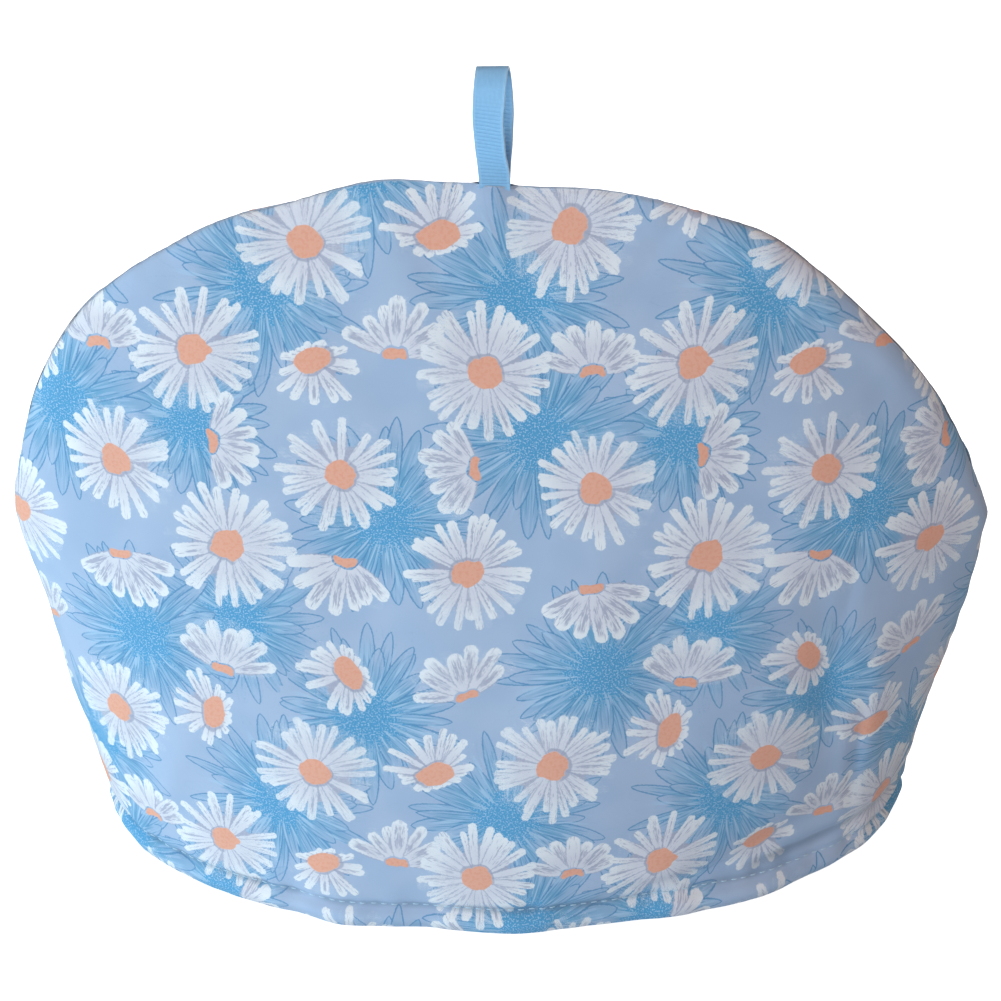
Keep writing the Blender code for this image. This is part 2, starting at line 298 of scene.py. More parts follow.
def settle(points, face):
    """Gives points the uneven set of the cloth: skewed feet, the seam's swells and the folds."""
    x, y, z = np.moveaxis(points, -1, 0)
    angle = np.degrees(np.arctan2(z - SEAM_CENTRE, x))
    angle = np.where(angle < -90, angle + 360, angle)
    swell = sum(s.out * MM * soft_bump(angle - s.angle, s.width) for s in SEAM_SWELLS)
    swell = swell * np.exp(-(y / SEAM_REACH) ** 2) * np.minimum(1, z / SWELLS_FULL_AT) ** 2
    spread = np.hypot(x, z - SEAM_CENTRE)
    out = 0
    for fold in FOLDS[face]:
        along, aside = at_lean(x / MM - fold.x, z / MM - fold.z, fold.lean)
        out = out + fold.out * MM * soft_bump(along, fold.length) * soft_bump(aside, fold.width)
    wave = sum(w.out * MM * soft_bump(x / MM - w.x, w.width) for w in HEM_WAVES)
    out = out + wave * np.exp(-z / HEM_WAVE_HEIGHT) * WAVE_SHARE[face]
    out = out * (1 - np.exp(-(y / FOLD_FADE) ** 2))
    slope = np.hypot(x / LEFT.widest ** 2, y / MOUTH_DEPTH ** 2)
    return np.stack([
        x + swell * x / spread + out * x / LEFT.widest ** 2 / slope,
        y + foot_skew(x, z) + out * y / MOUTH_DEPTH ** 2 / slope,
        z + swell * (z - SEAM_CENTRE) / spread,
    ], axis=-1)


# ---------------------------------------------------------------------------------------
# Panels, as they were cut. Every point of a panel knows its place on the flat cloth, in
# millimetres: along from the middle, and up from the edge of the hem.
ARC_STEPS = 40
RISE_STEPS = 400


def flat_place(across, z):
    """Where points of a panel lie on the flat cloth."""
    steps = np.linspace(0, 1, ARC_STEPS + 1).reshape(-1, *[1] * across.ndim)
    section = panel_point(across * steps, np.broadcast_to(z, (ARC_STEPS + 1, *z.shape)), FRONT)
    along = np.linalg.norm(np.diff(section, axis=0), axis=-1).sum(axis=0) * np.sign(across)
    rise = np.linspace(0, HEIGHT, RISE_STEPS)
    middle = panel_point(np.zeros(RISE_STEPS), rise, FRONT)
    return np.stack([along, np.interp(z, rise, run_along(middle))], axis=-1) / MM


def cut_edge():
    """The seam's edge on the flat cloth, and how far along the edge each of its points is."""
    x, z = seam_line(np.linspace(0, 1, SIDE_SAMPLES // 4)).T
    edge = flat_place(np.sign(x), z)
    return edge, run_along(edge)


def seam_distance(flat):
    """How far each place on the flat cloth is from the seam, and where along the seam, in mm."""
    near = np.full(flat.shape[:-1], np.inf)
    where = np.zeros(flat.shape[:-1])
    for point, length in zip(*cut_edge()):
        gap = np.hypot(flat[..., 0] - point[0], flat[..., 1] - point[1])
        where = np.where(gap < near, length, where)
        near = np.minimum(gap, near)
    return near, where


# ---------------------------------------------------------------------------------------
# Relief of the cloth. The seam is pulled in and the padding puffs up beside it in small
# puckers, the topstitch draws in a groove above the hem, and the cloth is lightly creased.
SEAM_PULL = 0.8
SEAM_PULL_WIDTH = 1.5
SEAM_PUFF = 0.7
SEAM_PUFF_AT = 6.0
SEAM_PUFF_WIDTH = 7.0
PUCKER = 0.55
PUCKER_LENGTH = 7.0
PUCKER_REACH = 11.0
STITCH_UP = 9.8
STITCH_GROOVE = 1.6
STITCH_GROOVE_WIDTH = 2.8
HEM_PUFF = 1.5
HEM_PUCKER = 0.65
HEM_PUCKER_LENGTH = 6.0
CRUMPLE = 0.55
CRUMPLE_LENGTH = 26.0
FINE_CRUMPLE = 0.14
FINE_CRUMPLE_LENGTH = 7.0
NOISE_SEED = {FRONT: 3.7, BACK: 41.3}

# Creases of each panel on the flat cloth, in millimetres: a narrow trough with soft banks.
Crease = namedtuple("Crease", "u v length width lean depth")
CREASES = {
    FRONT: [
        Crease(-146, 42, 22, 2.8, -28, 0.9),
        Crease(-136, 46, 20, 2.6, -24, 0.7),
        Crease(-128, 32, 18, 2.6, -34, 0.6),
        Crease(114, 122, 56, 2.6, 4, 0.6),
        Crease(127, 52, 36, 4.0, -6, 1.5),
        Crease(114, 16, 66, 6.0, 85, 2.8),
        Crease(56, 15, 30, 4.5, 86, 1.2),
        Crease(141, 44, 22, 3.0, -14, 0.7),
        Crease(-22, 232, 34, 5.0, -28, 0.5),
        Crease(46, 240, 30, 4.6, 26, 0.5),
        Crease(-70, 24, 22, 3.4, 74, 0.4),
        Crease(20, 26, 24, 3.6, -80, 0.5),
    ],
    BACK: [
        Crease(-116, 108, 48, 3.6, 8, 0.9),
        Crease(-134, 52, 30, 3.2, 22, 0.8),
        Crease(84, 40, 36, 3.8, -30, 0.9),
        Crease(128, 124, 34, 3.6, -12, 0.7),
        Crease(-30, 236, 32, 4.6, 24, 0.5),
        Crease(30, 22, 26, 3.4, 76, 0.4),
        Crease(-100, 18, 34, 4.5, -84, 1.0),
    ],
}


def ripple(x, y, seed):
    """Smooth noise from -1 to 1 at each of many places."""
    values = [noise.noise(Vector((a, b, seed))) for a, b in zip(np.ravel(x), np.ravel(y))]
    return np.array(values).reshape(np.shape(x))


def relief(flat, face):
    """How far the cloth stands out from its solid's face, in millimetres."""
    u, v = flat[..., 0], flat[..., 1]
    to_seam, along_seam = seam_distance(flat)
    seed = NOISE_SEED[face]
    height = SEAM_PUFF * soft_bump(to_seam - SEAM_PUFF_AT, SEAM_PUFF_WIDTH)
    height = height - SEAM_PULL * soft_bump(to_seam, SEAM_PULL_WIDTH)
    pucker = ripple(along_seam / PUCKER_LENGTH, to_seam / (3 * PUCKER_LENGTH), seed)
    clear = 1 - soft_bump(to_seam, SEAM_PULL_WIDTH)
    height = height + PUCKER * pucker * clear * np.exp(-to_seam / PUCKER_REACH)
    height = height - STITCH_GROOVE * soft_bump(v - STITCH_UP, STITCH_GROOVE_WIDTH)
    height = height + HEM_PUFF * soft_bump(v - STITCH_UP / 2, STITCH_UP / 2)
    gather = ripple(u / HEM_PUCKER_LENGTH, v / (3 * HEM_PUCKER_LENGTH), seed + 1)
    height = height + HEM_PUCKER * gather * soft_bump(v - STITCH_UP, STITCH_UP)
    height = height + CRUMPLE * ripple(u / CRUMPLE_LENGTH, v / CRUMPLE_LENGTH, seed + 2)
    fine = ripple(u / FINE_CRUMPLE_LENGTH, v / FINE_CRUMPLE_LENGTH, seed + 3)
    height = height + FINE_CRUMPLE * fine
    for crease in CREASES[face]:
        along, aside = at_lean(u - crease.u, v - crease.v, crease.lean)
        trough = soft_bump(aside, crease.width) - 0.5 * soft_bump(aside, 3 * crease.width)
        height = height - crease.depth * trough * soft_bump(along, crease.length)
    return height


# ---------------------------------------------------------------------------------------
# Panels, sewn up. The outer skin turns round the hem and comes back up as the inner skin, and
# both are caught in the seam. At the top the cloth parts a little round the ribbon.
RIBBON_WIDTH = 9.0 * MM
LOOP_X = -3.2 * MM
PARTING = 1.5 * MM
PARTING_WIDTH = 5.0 * MM
PARTING_DEPTH = 9.0 * MM
HEM_TURNS = 8
SHARP_ANGLE = math.radians(50)

# The map for the cloth's colours: the outer skin is large and the inner skin is small above it.
MAP_SPAN = 380.0
MAP_MARGIN = 4.0
INSIDE_SHARE = 0.30
INSIDE_UP = 0.765
SEAM_ALLOWANCE = 1.5


def keep_side(points, face):
    """Keeps a panel's points on their own side of the seam."""
    x, y, z = np.moveaxis(points, -1, 0)
    skew = foot_skew(x, z)
    side = np.maximum(face * (y - skew), CLEARANCE / 2)
    return np.stack([x, skew + face * side, z], axis=-1)


def part_round_ribbon(points, face):
    """Moves the cloth out of the ribbon's way at the top of the seam."""
    x, y, z = np.moveaxis(points, -1, 0)
    beside = np.exp(-((x - LOOP_X) / PARTING_WIDTH) ** 8)
    below = np.exp(-(np.maximum(HEIGHT - z, 0) / PARTING_DEPTH) ** 2)
    return np.stack([x, y + face * PARTING * beside * below, z], axis=-1)


def outer_skin(across, z, face):
    """A grid of points on the panel's finished outer side, and the outward directions there."""
    plain = settle(panel_point(across, z, face), face)
    normal = np.cross(np.gradient(plain, axis=1), np.gradient(plain, axis=0)) * -face
    normal /= np.maximum(np.linalg.norm(normal, axis=-1, keepdims=True), MM ** 3)
    height = relief(flat_place(across, z), face)[..., None] * MM
    return part_round_ribbon(keep_side(plain + normal * height, face), face), normal


def inner_skin(across, z, face):
    """A grid of points on the panel's inner side."""
    padding = [1 - WALL / LEFT.widest, 1 - WALL / MOUTH_DEPTH, 1 - WALL / HEIGHT]
    plain = settle(panel_point(across, z, face) * padding, face)
    return part_round_ribbon(keep_side(plain, face), face)


def quads(a, b, c, d):
    """Four-sided faces from four like grids of corners."""
    return np.stack([a, b, c, d], axis=2).reshape(-1, 4, *a.shape[2:])


def seam_faces(outer, lining, hem_row):
    """The faces that close the seam between two skins: over the top, then down each side."""
    groups = [quads(outer[:1, :-1], outer[:1, 1:], lining[:1, 1:], lining[:1, :-1])]
    for column, turn in ((0, 1), (-1, -1)):
        skin, back = outer[:hem_row + 1, column][None], lining[:hem_row + 1, column][None]
        groups.append(quads(skin[:, 1:], skin[:, :-1], back[:, :-1], back[:, 1:])[:, ::turn])
    return groups


def hem_ends(grid, hem_row):
    """The corners of the two faces that close the turned hem at its ends."""
    return [grid[hem_row:hem_row + HEM_TURNS + 1, column][::turn] for column, turn in ((0, -1), (-1, 1))]


def sew_panel(name, face):
    """One closed panel, whose points know their place on the flat cloth and on its map."""
    across, z = panel_grid()
    outer, _ = outer_skin(across, z, face)
    inner = inner_skin(across, z, face)
    flat = flat_place(across, z)
    middle = (outer[0] + inner[0]) / 2
    turns = np.linspace(0, math.pi, HEM_TURNS + 1)[1:-1, None, None]
    roll = middle + (outer[0] - middle) * np.cos(turns) - middle * [0, 0, 1] * np.sin(turns)
    points = np.concatenate([outer[::-1], roll, inner])
    roll_flat = flat[0] * np.where([True, False], 1, np.cos(turns))
    cloth = np.concatenate([flat[::-1], roll_flat, flat * [1, -1]])

    outer_map = cloth / MAP_SPAN + [0.5, MAP_MARGIN / MAP_SPAN]
    inner_map = cloth * [1, -1] * INSIDE_SHARE / MAP_SPAN + [0.5, INSIDE_UP]
    beyond = cloth - [0, WIDEST_AT / MM]
    beyond = beyond / np.linalg.norm(beyond, axis=-1, keepdims=True) * SEAM_ALLOWANCE / MAP_SPAN
    allowance_map = outer_map + beyond

    number = np.arange(points.shape[0] * points.shape[1]).reshape(points.shape[:2])
    last = points.shape[0] - 1
    hem_row = across.shape[0] - 1
    turned = hem_row + HEM_TURNS
    faces, places = [], []
    for low, high, layout in ((0, turned, outer_map), (turned, last, inner_map)):
        for grid, store in ((number, faces), (layout, places)):
            part = grid[low:high + 1]
            store.append(quads(part[:-1, :-1], part[1:, :-1], part[1:, 1:], part[:-1, 1:]))
    faces += seam_faces(number, number[::-1], hem_row)
    places += seam_faces(outer_map, allowance_map, hem_row)
    polygons = [corners for group in faces for corners in group.tolist()]
    polygons += [end.tolist() for end in hem_ends(number, hem_row)]
    corners = [group.reshape(-1, 2) for group in places] + hem_ends(outer_map, hem_row)
    corners = np.concatenate(corners)
    if face == BACK:
        polygons = [polygon[::-1] for polygon in polygons]
        ends = np.cumsum([len(polygon) for polygon in polygons])
        order = np.concatenate([np.arange(end - 1, end - len(polygon) - 1, -1)
                                for end, polygon in zip(ends, polygons)])
        corners = corners[order]

    mesh = bpy.data.meshes.new(name)
    mesh.from_pydata(points.reshape(-1, 3).tolist(), [], polygons)
    mesh.uv_layers.new(name="OFBake").data.foreach_set("uv", corners.ravel())
    to_seam = seam_distance(np.abs(cloth) * np.sign(cloth * [1, 0] + [0, 1]))[0]
    place = mesh.attributes.new("cloth", "FLOAT_VECTOR", "POINT")
    place.data.foreach_set("vector", np.concatenate([cloth, to_seam[..., None]], axis=-1).ravel())
    hollow = np.zeros(points.shape[:2])
    hollow[:hem_row + 1] = -relief(flat, face)[::-1]
    mesh.attributes.new("hollow", "FLOAT", "POINT").data.foreach_set("value", hollow.ravel())
    mesh.shade_smooth()
    mesh.set_sharp_from_angle(angle=SHARP_ANGLE)
    panel = bpy.data.objects.new(name, mesh)
    scene.collection.objects.link(panel)
    return panel


front_panel = sew_panel("front_panel_cloth", FRONT)
back_panel = sew_panel("back_panel_cloth", BACK)

# ---------------------------------------------------------------------------------------
# Print. White daisies with peach middles, seen from above and from the side, are scattered
# over larger blue flowers on a pale blue ground. The chart is one repeat, in millimetres.
REPEAT_WIDE = 150.0
REPEAT_HIGH = 176.0
REPEAT_SHIFT = {FRONT: (31.0, 58.0), BACK: (97.0, 12.0)}
OPEN, SIDEWAYS, LEANING = 0, 1, 2
SIDEWAYS_OFF = 0.58
SIDEWAYS_REACH = 0.62
Bloom = namedtuple("Bloom", "u v radius kind turn squash petals", defaults=(1.0, 8))
DAISIES = [
    Bloom(22, 18, 21.5, OPEN, 10, 0.94, 13),
    Bloom(96, 22, 22.5, OPEN, 70, 0.97, 14),
    Bloom(60, 46, 21.5, OPEN, 130, 0.93, 13),
    Bloom(132, 48, 21.0, OPEN, 200, 0.96, 12),
    Bloom(26, 82, 22.5, OPEN, 300, 0.95, 14),
    Bloom(88, 84, 21.5, OPEN, 40, 0.92, 13),
    Bloom(50, 126, 22.5, OPEN, 250, 0.96, 14),
    Bloom(122, 120, 22.0, OPEN, 160, 0.94, 13),
    Bloom(124, 84, 18.0, LEANING, 200, 0.86, 9),
    Bloom(12, 122, 19.0, LEANING, 20, 0.88, 10),
    Bloom(88, 136, 19.0, LEANING, 80, 0.86, 10),
    Bloom(134, 157, 19.0, LEANING, 120, 0.88, 10),
]
FANS = [
    Bloom(60, 14, 21.0, SIDEWAYS, 190),
    Bloom(133, 20, 21.0, SIDEWAYS, 165),
    Bloom(92, 56, 19.0, SIDEWAYS, 270),
    Bloom(24, 52, 19.0, SIDEWAYS, 95),
    Bloom(58, 82, 18.0, SIDEWAYS, 0),
    Bloom(149, 86, 18.0, SIDEWAYS, 350),
    Bloom(22, 151, 20.0, SIDEWAYS, 20),
    Bloom(92, 153, 20.0, SIDEWAYS, 350),
]
BLUE_BELOW = [
    Bloom(146, 34, 34, OPEN, 80, petals=17),
    Bloom(36, 106, 35, OPEN, 140, petals=18),
    Bloom(140, 142, 34, OPEN, 190, petals=17),
    Bloom(98, 172, 31, OPEN, 110, petals=16),
    Bloom(86, 62, 30, OPEN, 250, petals=16),
]
BLUE_ABOVE = [
    Bloom(42, 62, 35, OPEN, 15, petals=18),
    Bloom(110, 106, 36, OPEN, 50, petals=17),
    Bloom(64, 160, 35, OPEN, 40, petals=18),
]


def lay_blooms(panel, layer, blooms, shift):
    """Tells each face of a panel which bloom of a layer it shows, and where it lies in it."""
    mesh = panel.data
    cloth = np.empty(len(mesh.vertices) * 3)
    mesh.attributes["cloth"].data.foreach_get("vector", cloth)
    cloth = cloth.reshape(-1, 3)[:, :2] + shift
    corner_vertex = np.empty(len(mesh.loops), int)
    mesh.loops.foreach_get("vertex_index", corner_vertex)
    corners = np.empty(len(mesh.polygons), int)
    mesh.polygons.foreach_get("loop_total", corners)
    owner = np.repeat(np.arange(len(corners)), corners)
    at = cloth[corner_vertex]
    middle = np.stack([np.bincount(owner, at[:, axis]) / corners for axis in (0, 1)], axis=1)

    best = np.full(len(corners), np.inf)
    root = np.zeros((len(corners), 2))
    chosen = np.zeros(len(corners), int)
    size = np.array([REPEAT_WIDE, REPEAT_HIGH])
    for index, bloom in enumerate(blooms):
        turn = math.radians(bloom.turn)
        reach = bloom.radius
        bloom_middle = np.array([bloom.u, bloom.v])
        if bloom.kind == SIDEWAYS:
            off = SIDEWAYS_OFF * bloom.radius
            bloom_middle = bloom_middle + off * np.array([-math.sin(turn), math.cos(turn)])
            reach = SIDEWAYS_REACH * bloom.radius
        gap = (middle - bloom_middle + size / 2) % size - size / 2
        score = np.hypot(gap[:, 0], gap[:, 1]) - reach
        nearer = score < best
        best = np.where(nearer, score, best)
        chosen = np.where(nearer, index, chosen)
        centre = middle - gap - bloom_middle + [bloom.u, bloom.v]
        root = np.where(nearer[:, None], centre, root)

    chart = np.array([tuple(bloom) for bloom in blooms])[chosen][owner]
    turn = np.radians(chart[:, 4])
    local = at - root[owner]
    x = local[:, 0] * np.cos(turn) + local[:, 1] * np.sin(turn)
    y = (local[:, 1] * np.cos(turn) - local[:, 0] * np.sin(turn)) / chart[:, 5]
    place = mesh.attributes.new(layer + "_place", "FLOAT_VECTOR", "CORNER")
    place.data.foreach_set("vector", np.stack([x, y, chosen[owner]], axis=1).ravel())
    form = mesh.attributes.new(layer + "_form", "FLOAT_VECTOR", "CORNER")
    form.data.foreach_set("vector", chart[:, [2, 6, 3]].ravel())


class Signal:
    """One value in a material's nodes, which adds and multiplies like a number. Plain numbers
    are gathered in a factor and an offset, so that many of them cost one node or none."""

    def __init__(self, socket, factor=1.0, offset=0.0):
        self.socket = socket
        self.nodes = socket.id_data.nodes
        self.factor = factor
        self.offset = offset

    def bare(self):
        return Signal(self.socket)

    def plain(self):
        """The same value, with its factor and offset worked out by one node."""
        if self.offset == 0.0:
            return self if self.factor == 1.0 else self.bare().math("MULTIPLY", self.factor)
        if self.factor == 1.0:
            return self.bare().math("ADD", self.offset)
        return self.bare().math("MULTIPLY_ADD", self.factor, self.offset)

    def scaled(self):
        return self if self.offset == 0.0 else self.plain()

    def math(self, operation, *others):
        node = self.nodes.new("ShaderNodeMath")
        node.operation = operation
        for slot, value in zip(node.inputs, (self, *others)):
            feed(slot, value)
        return Signal(node.outputs["Value"])

    def __add__(self, other):
        if not isinstance(other, Signal):
            return Signal(self.socket, self.factor, self.offset + other)
        if other.factor == 1.0 and self.factor != 1.0:
            return other + self
        ratio = other.factor / self.factor
        if abs(ratio) == 1.0:
            total = self.bare().math("ADD" if ratio > 0 else "SUBTRACT", other.bare())
        else:
            total = other.bare().math("MULTIPLY_ADD", ratio, self.bare())
        return Signal(total.socket, self.factor, self.offset + other.offset)

    def __mul__(self, other):
        if not isinstance(other, Signal):
            return Signal(self.socket, self.factor * other, self.offset * other)
        one, two = self.scaled(), other.scaled()
        return Signal(one.bare().math("MULTIPLY", two.bare()).socket, one.factor * two.factor)

    def __truediv__(self, other):
        if not isinstance(other, Signal):
            return self * (1 / other)
        one, two = self.scaled(), other.scaled()
        return Signal(one.bare().math("DIVIDE", two.bare()).socket, one.factor / two.factor)

    __radd__ = __add__
    __rmul__ = __mul__

    def __sub__(self, other):
        return self + other * -1

    def __rsub__(self, other):
        return self * -1 + other

    def size(self):
        return self.math("ABSOLUTE")

    def most(self, other):
        return self.math("MAXIMUM", other)

    def is_near(self, other):
        return self.math("COMPARE", other, 0.5)

    def rise(self, low, high):
        """Goes smoothly from 0 to 1 while this value goes from low to high."""
        node = self.nodes.new("ShaderNodeMapRange")
        node.interpolation_type = "SMOOTHSTEP"
        feed(node.inputs["Value"], self.bare())
        node.inputs["From Min"].default_value = (low - self.offset) / self.factor
        node.inputs["From Max"].default_value = (high - self.offset) / self.factor
        return Signal(node.outputs["Result"])

    def fall(self, high, low):
        """Goes smoothly from 1 to 0 while this value goes from the first to the second."""
        return self.rise(low, high)

    def choose(self, zero, one):
        """Mixes two values: this one at 0 gives the first and at 1 gives the second."""
        return zero + (one - zero) * self


def feed(slot, value):
    """Links a signal to a node's socket, or sets the socket to a plain value."""
    if isinstance(value, Signal):
        slot.id_data.links.new(value.plain().socket, slot)
    else:
        slot.default_value = value


def read(nodes, name):
    """The three values of a cloth attribute."""
    source = nodes.new("ShaderNodeAttribute")
    source.attribute_name = name
    split = nodes.new("ShaderNodeSeparateXYZ")
    nodes.id_data.links.new(source.outputs["Vector"], split.inputs[0])
    return [Signal(output) for output in split.outputs]


def length_of(x, y):
    """The length of the vector x, y."""
    return x.math("MULTIPLY_ADD", x, y * y).math("SQRT")


def join(x, y, z):
    """Three values as one vector."""
    signal = next(value for value in (x, y, z) if isinstance(value, Signal))
    node = signal.nodes.new("ShaderNodeCombineXYZ")
    for slot, value in zip(node.inputs, (x, y, z)):
        feed(slot, value)
    return Signal(node.outputs[0])


def dice(x, y, z):
    """Three random numbers from 0 to 1 that depend on three whole numbers."""
    place = join(x, y, z)
    node = place.nodes.new("ShaderNodeTexWhiteNoise")
    node.noise_dimensions = "3D"
    feed(node.inputs["Vector"], place)
    split = place.nodes.new("ShaderNodeSeparateColor")
    place.nodes.id_data.links.new(node.outputs["Color"], split.inputs[0])
    return [Signal(output) for output in split.outputs]


def cloudy(x, y, z):
    """Soft noise, mostly between 0.3 and 0.7."""
    place = join(x, y, z)
    node = place.nodes.new("ShaderNodeTexNoise")
    node.inputs["Scale"].default_value = 1.0
    node.inputs["Detail"].default_value = 1.0
    feed(node.inputs["Vector"], place)
    return Signal(node.outputs[0])


def colour_mix(share, first, second):
    """Two colours mixed: either may be a plain colour or a signal."""
    node = share.nodes.new("ShaderNodeMix")
    node.data_type = "RGBA"
    feed(node.inputs["Factor"], share)
    for slot, value in ((node.inputs[6], first), (node.inputs[7], second)):
        feed(slot, value if isinstance(value, Signal) else (*value, 1))
    return Signal(node.outputs[2])


Petal = namedtuple("Petal", "along across length heading first second third")


def nearest_petal(place, form, turn, ring, shortest, spread):
    """Where a point lies in the nearest petal of a ring: how far along it and to its side, the
    petal's length and heading, and three random numbers of its own."""
    x, y, seed = place
    radius, petals, kind = form
    steps = y.math("ARCTAN2", x) * petals / (2 * math.pi) + turn
    which = steps.math("ROUND")
    number = which.math("FLOORED_MODULO", petals)
    swing, stretch, bend = dice(number, seed, ring)
    heading = (which - turn) / petals * (2 * math.pi)
    length = radius * (shortest + (1 - shortest) * stretch)
    away = (steps - which + (swing - 0.5) * spread) / petals * (2 * math.pi)
    reach = length_of(x, y)
    along = reach * away.math("COSINE")
    across = reach * away.math("SINE") + (bend - 0.5) * along * along / radius * 0.16
    return Petal(along, across, length, heading, *dice(number, seed, ring + 0.5))


GROUND = (0.45, 0.56, 0.74)
GROUND_SHADE = (0.41, 0.53, 0.72)
WHITE = (0.76, 0.76, 0.83)
WHITE_TIP = (0.88, 0.90, 0.93)
LAVENDER = (0.44, 0.46, 0.58)
CENTRE_SHADE = (0.36, 0.38, 0.50)
PEACH = (0.90, 0.45, 0.32)
PEACH_SHADE = (0.86, 0.37, 0.25)
BLUE = (0.165, 0.405, 0.62)
PALE_BLUE = (0.31, 0.52, 0.74)
PALE_RAY = (0.45, 0.64, 0.83)
BLUE_LINE = (0.10, 0.29, 0.52)
BLUE_HEART = (0.10, 0.37, 0.64)
LINING = (0.80, 0.80, 0.78)
SEAM_SHADE = (0.42, 0.40, 0.42)
HOLLOW_SHADE = (0.12, 0.17, 0.24)
EDGE_SHADE = (0.20, 0.17, 0.17)
STROKE_HALF = 1.4
LOOP_HALF = 2.35
CORE_DEPTH = 1.1
LEAF_HALF = 2.4
FAN_FROM = 0.2
TURNED_UP = 13.0
COTTON_ROUGHNESS = 0.85
COTTON_SHEEN = 0.15
COTTON_SHINE = 0.25
THREAD_PITCH = 0.42
WEAVE_STRENGTH = 0.5
WEAVE_DEPTH = 0.05 * MM

cotton = bpy.data.materials.new("printed_cotton")
cotton.use_nodes = True
cloth_nodes = cotton.node_tree.nodes
u, v, to_seam = read(cloth_nodes, "cloth")
ground = colour_mix(cloudy(u * 0.05, v * 0.05, 0.0).rise(0.35, 0.65), GROUND, GROUND_SHADE)


def paint_blue_flowers(colour, layer):
    """Big blue flowers over a colour, drawn in fine dark lines and filled unevenly."""
    place, form = read(cloth_nodes, layer + "_place"), read(cloth_nodes, layer + "_form")
    x, y, seed = place
    radius = form[0]
    reach = length_of(x, y)
    rough = cloudy(u * 1.3, v * 1.3, 3.0) - 0.5
    rays = cloudy(y.math("ARCTAN2", x) * 12.0, reach * 0.06, seed * 9)
    inner = (reach - radius * 0.46 + (rays - 0.5) * 34).fall(-2.5, 2.5)
    colour = colour_mix(inner, colour, colour_mix(rays.rise(0.42, 0.58), BLUE, PALE_BLUE))
    for ring, (turn, shortest) in enumerate(((0.5, 0.80), (0.0, 0.60))):
        petal = nearest_petal(place, form, turn, ring + 10.0, shortest, 0.44)
        share = petal.along / petal.length
        skewed = share.math("POWER", 1.3)
        leaf = (skewed * (1 - skewed)).most(0).math("POWER", 0.6)
        half = LEAF_HALF * (1.72 + 1.15 * petal.first) * leaf
        aside = petal.across.size()
        gap = (aside - half).most(petal.along - petal.length) + rough * 0.5
        inside = gap.fall(-0.15, 0.15)
        streaks = cloudy(petal.along * 0.10, petal.across * 1.8, petal.third * 29 + seed * 31)
        fill = colour_mix(streaks.rise(0.42, 0.58), BLUE, PALE_BLUE)
        fill = colour_mix(share.rise(0.35, 0.95) * (0.45 + 0.5 * petal.second), fill, ground)
        colour = colour_mix(inside * (1 - share.rise(0.6, 1.0) * petal.third * 0.5), colour, fill)
        line = gap.size().fall(0.12, 0.36)
        vein = (aside - half * 0.42).size().fall(0.08, 0.25) * inside
        vein = vein * petal.second.rise(0.1, 0.3) * share.fall(0.7, 0.85)
        colour = colour_mix(line.most(vein * 0.8) * 0.85, colour, BLUE_LINE)
    lit = rays.rise(0.57, 0.64) * (reach / radius).fall(0.55, 0.85)
    colour = colour_mix(lit * 0.7, colour, PALE_RAY)
    heart = (reach + rough * 14 + (rays - 0.5) * 14 - radius * 0.29).fall(-1.0, 1.0)
    speck = cloudy(u * 1.8, v * 1.8, 7.0).rise(0.54, 0.62)
    return colour_mix(heart, colour, colour_mix(speck * 0.8, BLUE_HEART, PALE_RAY))


peach = colour_mix(cloudy(u * 0.9, v * 0.9, 5.0).rise(0.45, 0.65) * 0.6, PEACH, PEACH_SHADE)
rough = (cloudy(u * 1.1, v * 1.1, 11.0) - 0.5) * 0.9


def paint_strokes(colour, place, form, width, cored, spread, leaning=None):
    """Two rings of white brush strokes over a colour, each ring edged in lavender. A share of the
    strokes have a lavender core. A daisy that may lean has its strokes shorter on one side, and
    without a word on leaning it is a fan, which shows only the petals that point upward."""
    for ring, turn in enumerate((0.5, 0.0)):
        petal = nearest_petal(place, form, turn, ring + 20.0, 0.78, spread)
        upward = petal.heading.math("SINE")
        length = petal.length
        if leaning:
            length = length * (1 + leaning * (upward * 0.36 - 0.26))
        share = petal.along / length
        half = width * (0.8 + 0.4 * petal.first) * (0.55 + 0.45 * share.rise(0.1, 0.6))
        past = (petal.along - length + half).most(0)
        gap = length_of(past, petal.across) - half + rough
        bristles = cloudy(petal.along * 0.25, petal.across * 1.7, petal.third * 31 + place[2] * 17)
        core = (gap + CORE_DEPTH).fall(-0.15, 0.15) * petal.second.rise(1 - cored, 1.04 - cored)
        core = core * share.rise(0.30, 0.42) * share.fall(0.80, 0.92) * bristles.rise(0.38, 0.56)
        dry = bristles.fall(0.28, 0.40) * 0.7
        rim = gap.fall(0.2, 0.6) * share.fall(0.60, 0.80)
        inside = gap.fall(-0.2, 0.2)
        if not leaning:
            drawn = upward.rise(FAN_FROM - 0.01, FAN_FROM)
            rim = rim * drawn
            inside = inside * drawn
        white = colour_mix(share.rise(0.4, 1.0), WHITE, WHITE_TIP)
        colour = colour_mix(rim * 0.8, colour, LAVENDER)
        colour = colour_mix(inside, colour, colour_mix((core * 0.9).most(dry), white, LAVENDER))
    return colour


def paint_fans(colour):
    """Daisies seen from the side: a fan of wide looped petals over a short peach bar."""
    place, form = read(cloth_nodes, "fan_place"), read(cloth_nodes, "fan_form")
    x, y, seed = place
    lump = cloudy(x * 0.22, y * 0.22, seed * 7 + 0.4) - 0.5
    bar = length_of((x.size() - 2.4).most(0), y - 0.9 + lump * 3 + x * x * 0.05) - 1.5 + rough * 0.5
    fan = paint_strokes(colour, place, form, LOOP_HALF, 0.85, 0.2)
    colour = colour_mix(bar.rise(0.4, 0.8), colour, fan)
    return colour_mix(bar.fall(-0.2, 0.2), colour, peach)


